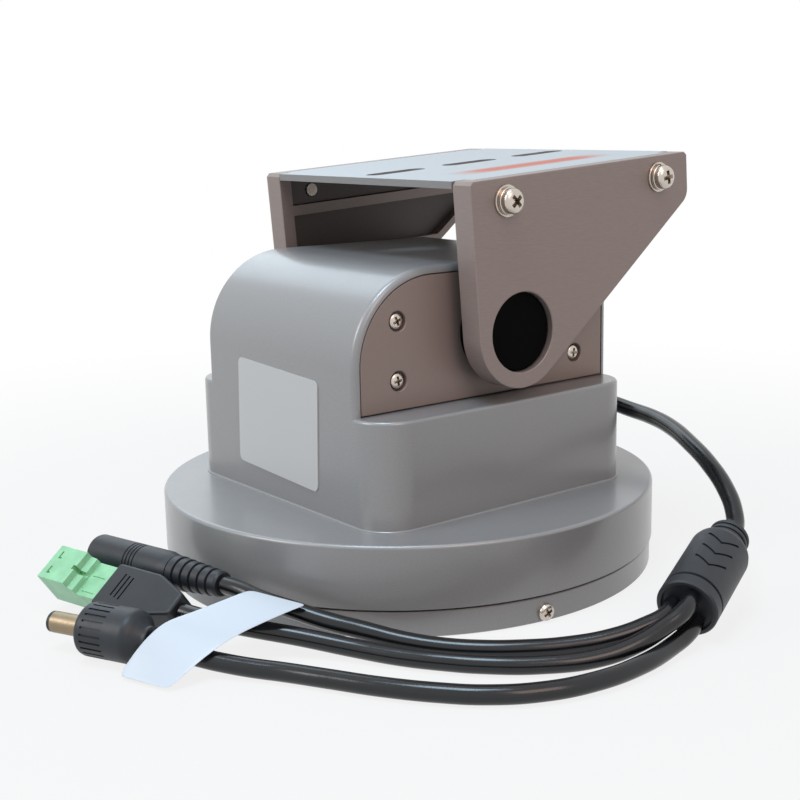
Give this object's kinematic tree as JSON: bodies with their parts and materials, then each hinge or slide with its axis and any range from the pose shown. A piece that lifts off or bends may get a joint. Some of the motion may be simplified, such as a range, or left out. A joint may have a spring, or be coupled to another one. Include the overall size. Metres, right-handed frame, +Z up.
{
  "type": "pan tilt head",
  "caption": "Small motorised pan and tilt head: round base, panning casing, tilting U bracket with a slotted top plate, and a cord that splits to its connectors.",
  "frame": {"origin": "centre of the base's underside, on the pan axis", "axes": "+Z up along the pan axis, -Y towards the front face with the label, +X along the tilt shaft to the head's right"},
  "size_m": [0.1921, 0.1976, 0.1228],
  "materials": {
    "paint_grey": "satin metallic paint",
    "anodised_grey": "fine brushed, anodised grey",
    "cover_grey": "fine brushed, anodised grey",
    "sheet_silver": "satin silver",
    "nickel": "nickel plated",
    "steel": "machined",
    "brass": "machined",
    "bronze": "sintered",
    "black_plastic": "matte moulded",
    "black_pvc": "glossy sheath",
    "white_nylon": "matte moulded",
    "terminal_green": "semi-gloss moulded",
    "board_green": "lacquered board",
    "label_white": "bare film",
    "plated_barrel": "plated"
  },
  "bodies": {
    "base": {"base_plate": "anodised_grey", "base_ring": "paint_grey", "ring_screw_1": "nickel", "ring_screw_2": "nickel", "ring_screw_3": "nickel", "ring_screw_4": "nickel", "pan_gear": "brass", "pan_spindle": "steel", "spindle_nut": "steel", "pan_bearing_inner": "steel", "pan_bearing_cage": "brass"},
    "head": {"turntable": "paint_grey", "casing": "paint_grey", "right_cover": "cover_grey", "left_cover": "cover_grey", "right_cover_screw_1": "nickel", "right_cover_screw_2": "nickel", "right_cover_screw_3": "nickel", "right_cover_screw_4": "nickel", "left_cover_screw_1": "nickel", "left_cover_screw_2": "nickel", "left_cover_screw_3": "nickel", "left_cover_screw_4": "nickel", "pan_bearing_outer": "steel", "pan_motor": "steel", "tilt_motor": "steel", "motor_frame": "steel", "right_tilt_bush": "bronze", "left_tilt_bush": "bronze", "tilt_limit_switch": "black_plastic", "cable_gland": "black_plastic", "splitter": "black_plastic", "dc_jack": "black_plastic", "jack_boot": "black_plastic", "terminal_adapter": "black_plastic", "dc_plug": "black_plastic", "main_cable": "black_pvc", "jack_cable": "black_pvc", "terminal_cable": "black_pvc", "plug_cable": "black_pvc", "pan_gearbox": "white_nylon", "tilt_gearbox": "white_nylon", "terminal_plug": "terminal_green", "control_board": "board_green", "rating_label": "label_white", "cable_flag": "label_white", "dc_plug_barrel": "plated_barrel"},
    "bracket": {"top_plate": "sheet_silver", "right_side_plate": "anodised_grey", "left_side_plate": "anodised_grey", "right_tilt_hub": "black_plastic", "left_tilt_hub": "black_plastic", "tilt_shaft": "steel", "tilt_gear": "brass", "right_bracket_screw_1": "nickel", "right_bracket_screw_2": "nickel", "left_bracket_screw_1": "nickel", "left_bracket_screw_2": "nickel"},
    "pan_pinion": {"pan_pinion": "brass"},
    "tilt_pinion": {"tilt_pinion": "brass"}
  },
  "joints": [
    {"name": "pan", "type": "hinge", "parent": "base", "child": "head", "pos_m": [0, 0, 0], "axis": [0, 0, 1], "range_deg": [-160, 160]},
    {"name": "tilt", "type": "hinge", "parent": "head", "child": "bracket", "pos_m": [0, 0.0018, 0.0745], "axis": [1, 0, 0], "range_deg": [-34, 40]},
    {"name": "pan_pinion_spin", "type": "hinge", "parent": "head", "child": "pan_pinion", "pos_m": [0, -0.03, 0.013], "axis": [0, 0, 1], "range_deg": [-445, 445]},
    {"name": "tilt_pinion_spin", "type": "hinge", "parent": "head", "child": "tilt_pinion", "pos_m": [0.0265, 0.01665, 0.05965], "axis": [1, 0, 0], "range_deg": [-105, 90]}
  ],
  "couplings": [
    {"joint": "pan_pinion_spin", "follows": "pan", "ratio": 2.75},
    {"joint": "tilt_pinion_spin", "follows": "tilt", "ratio": -2.5}
  ]
}
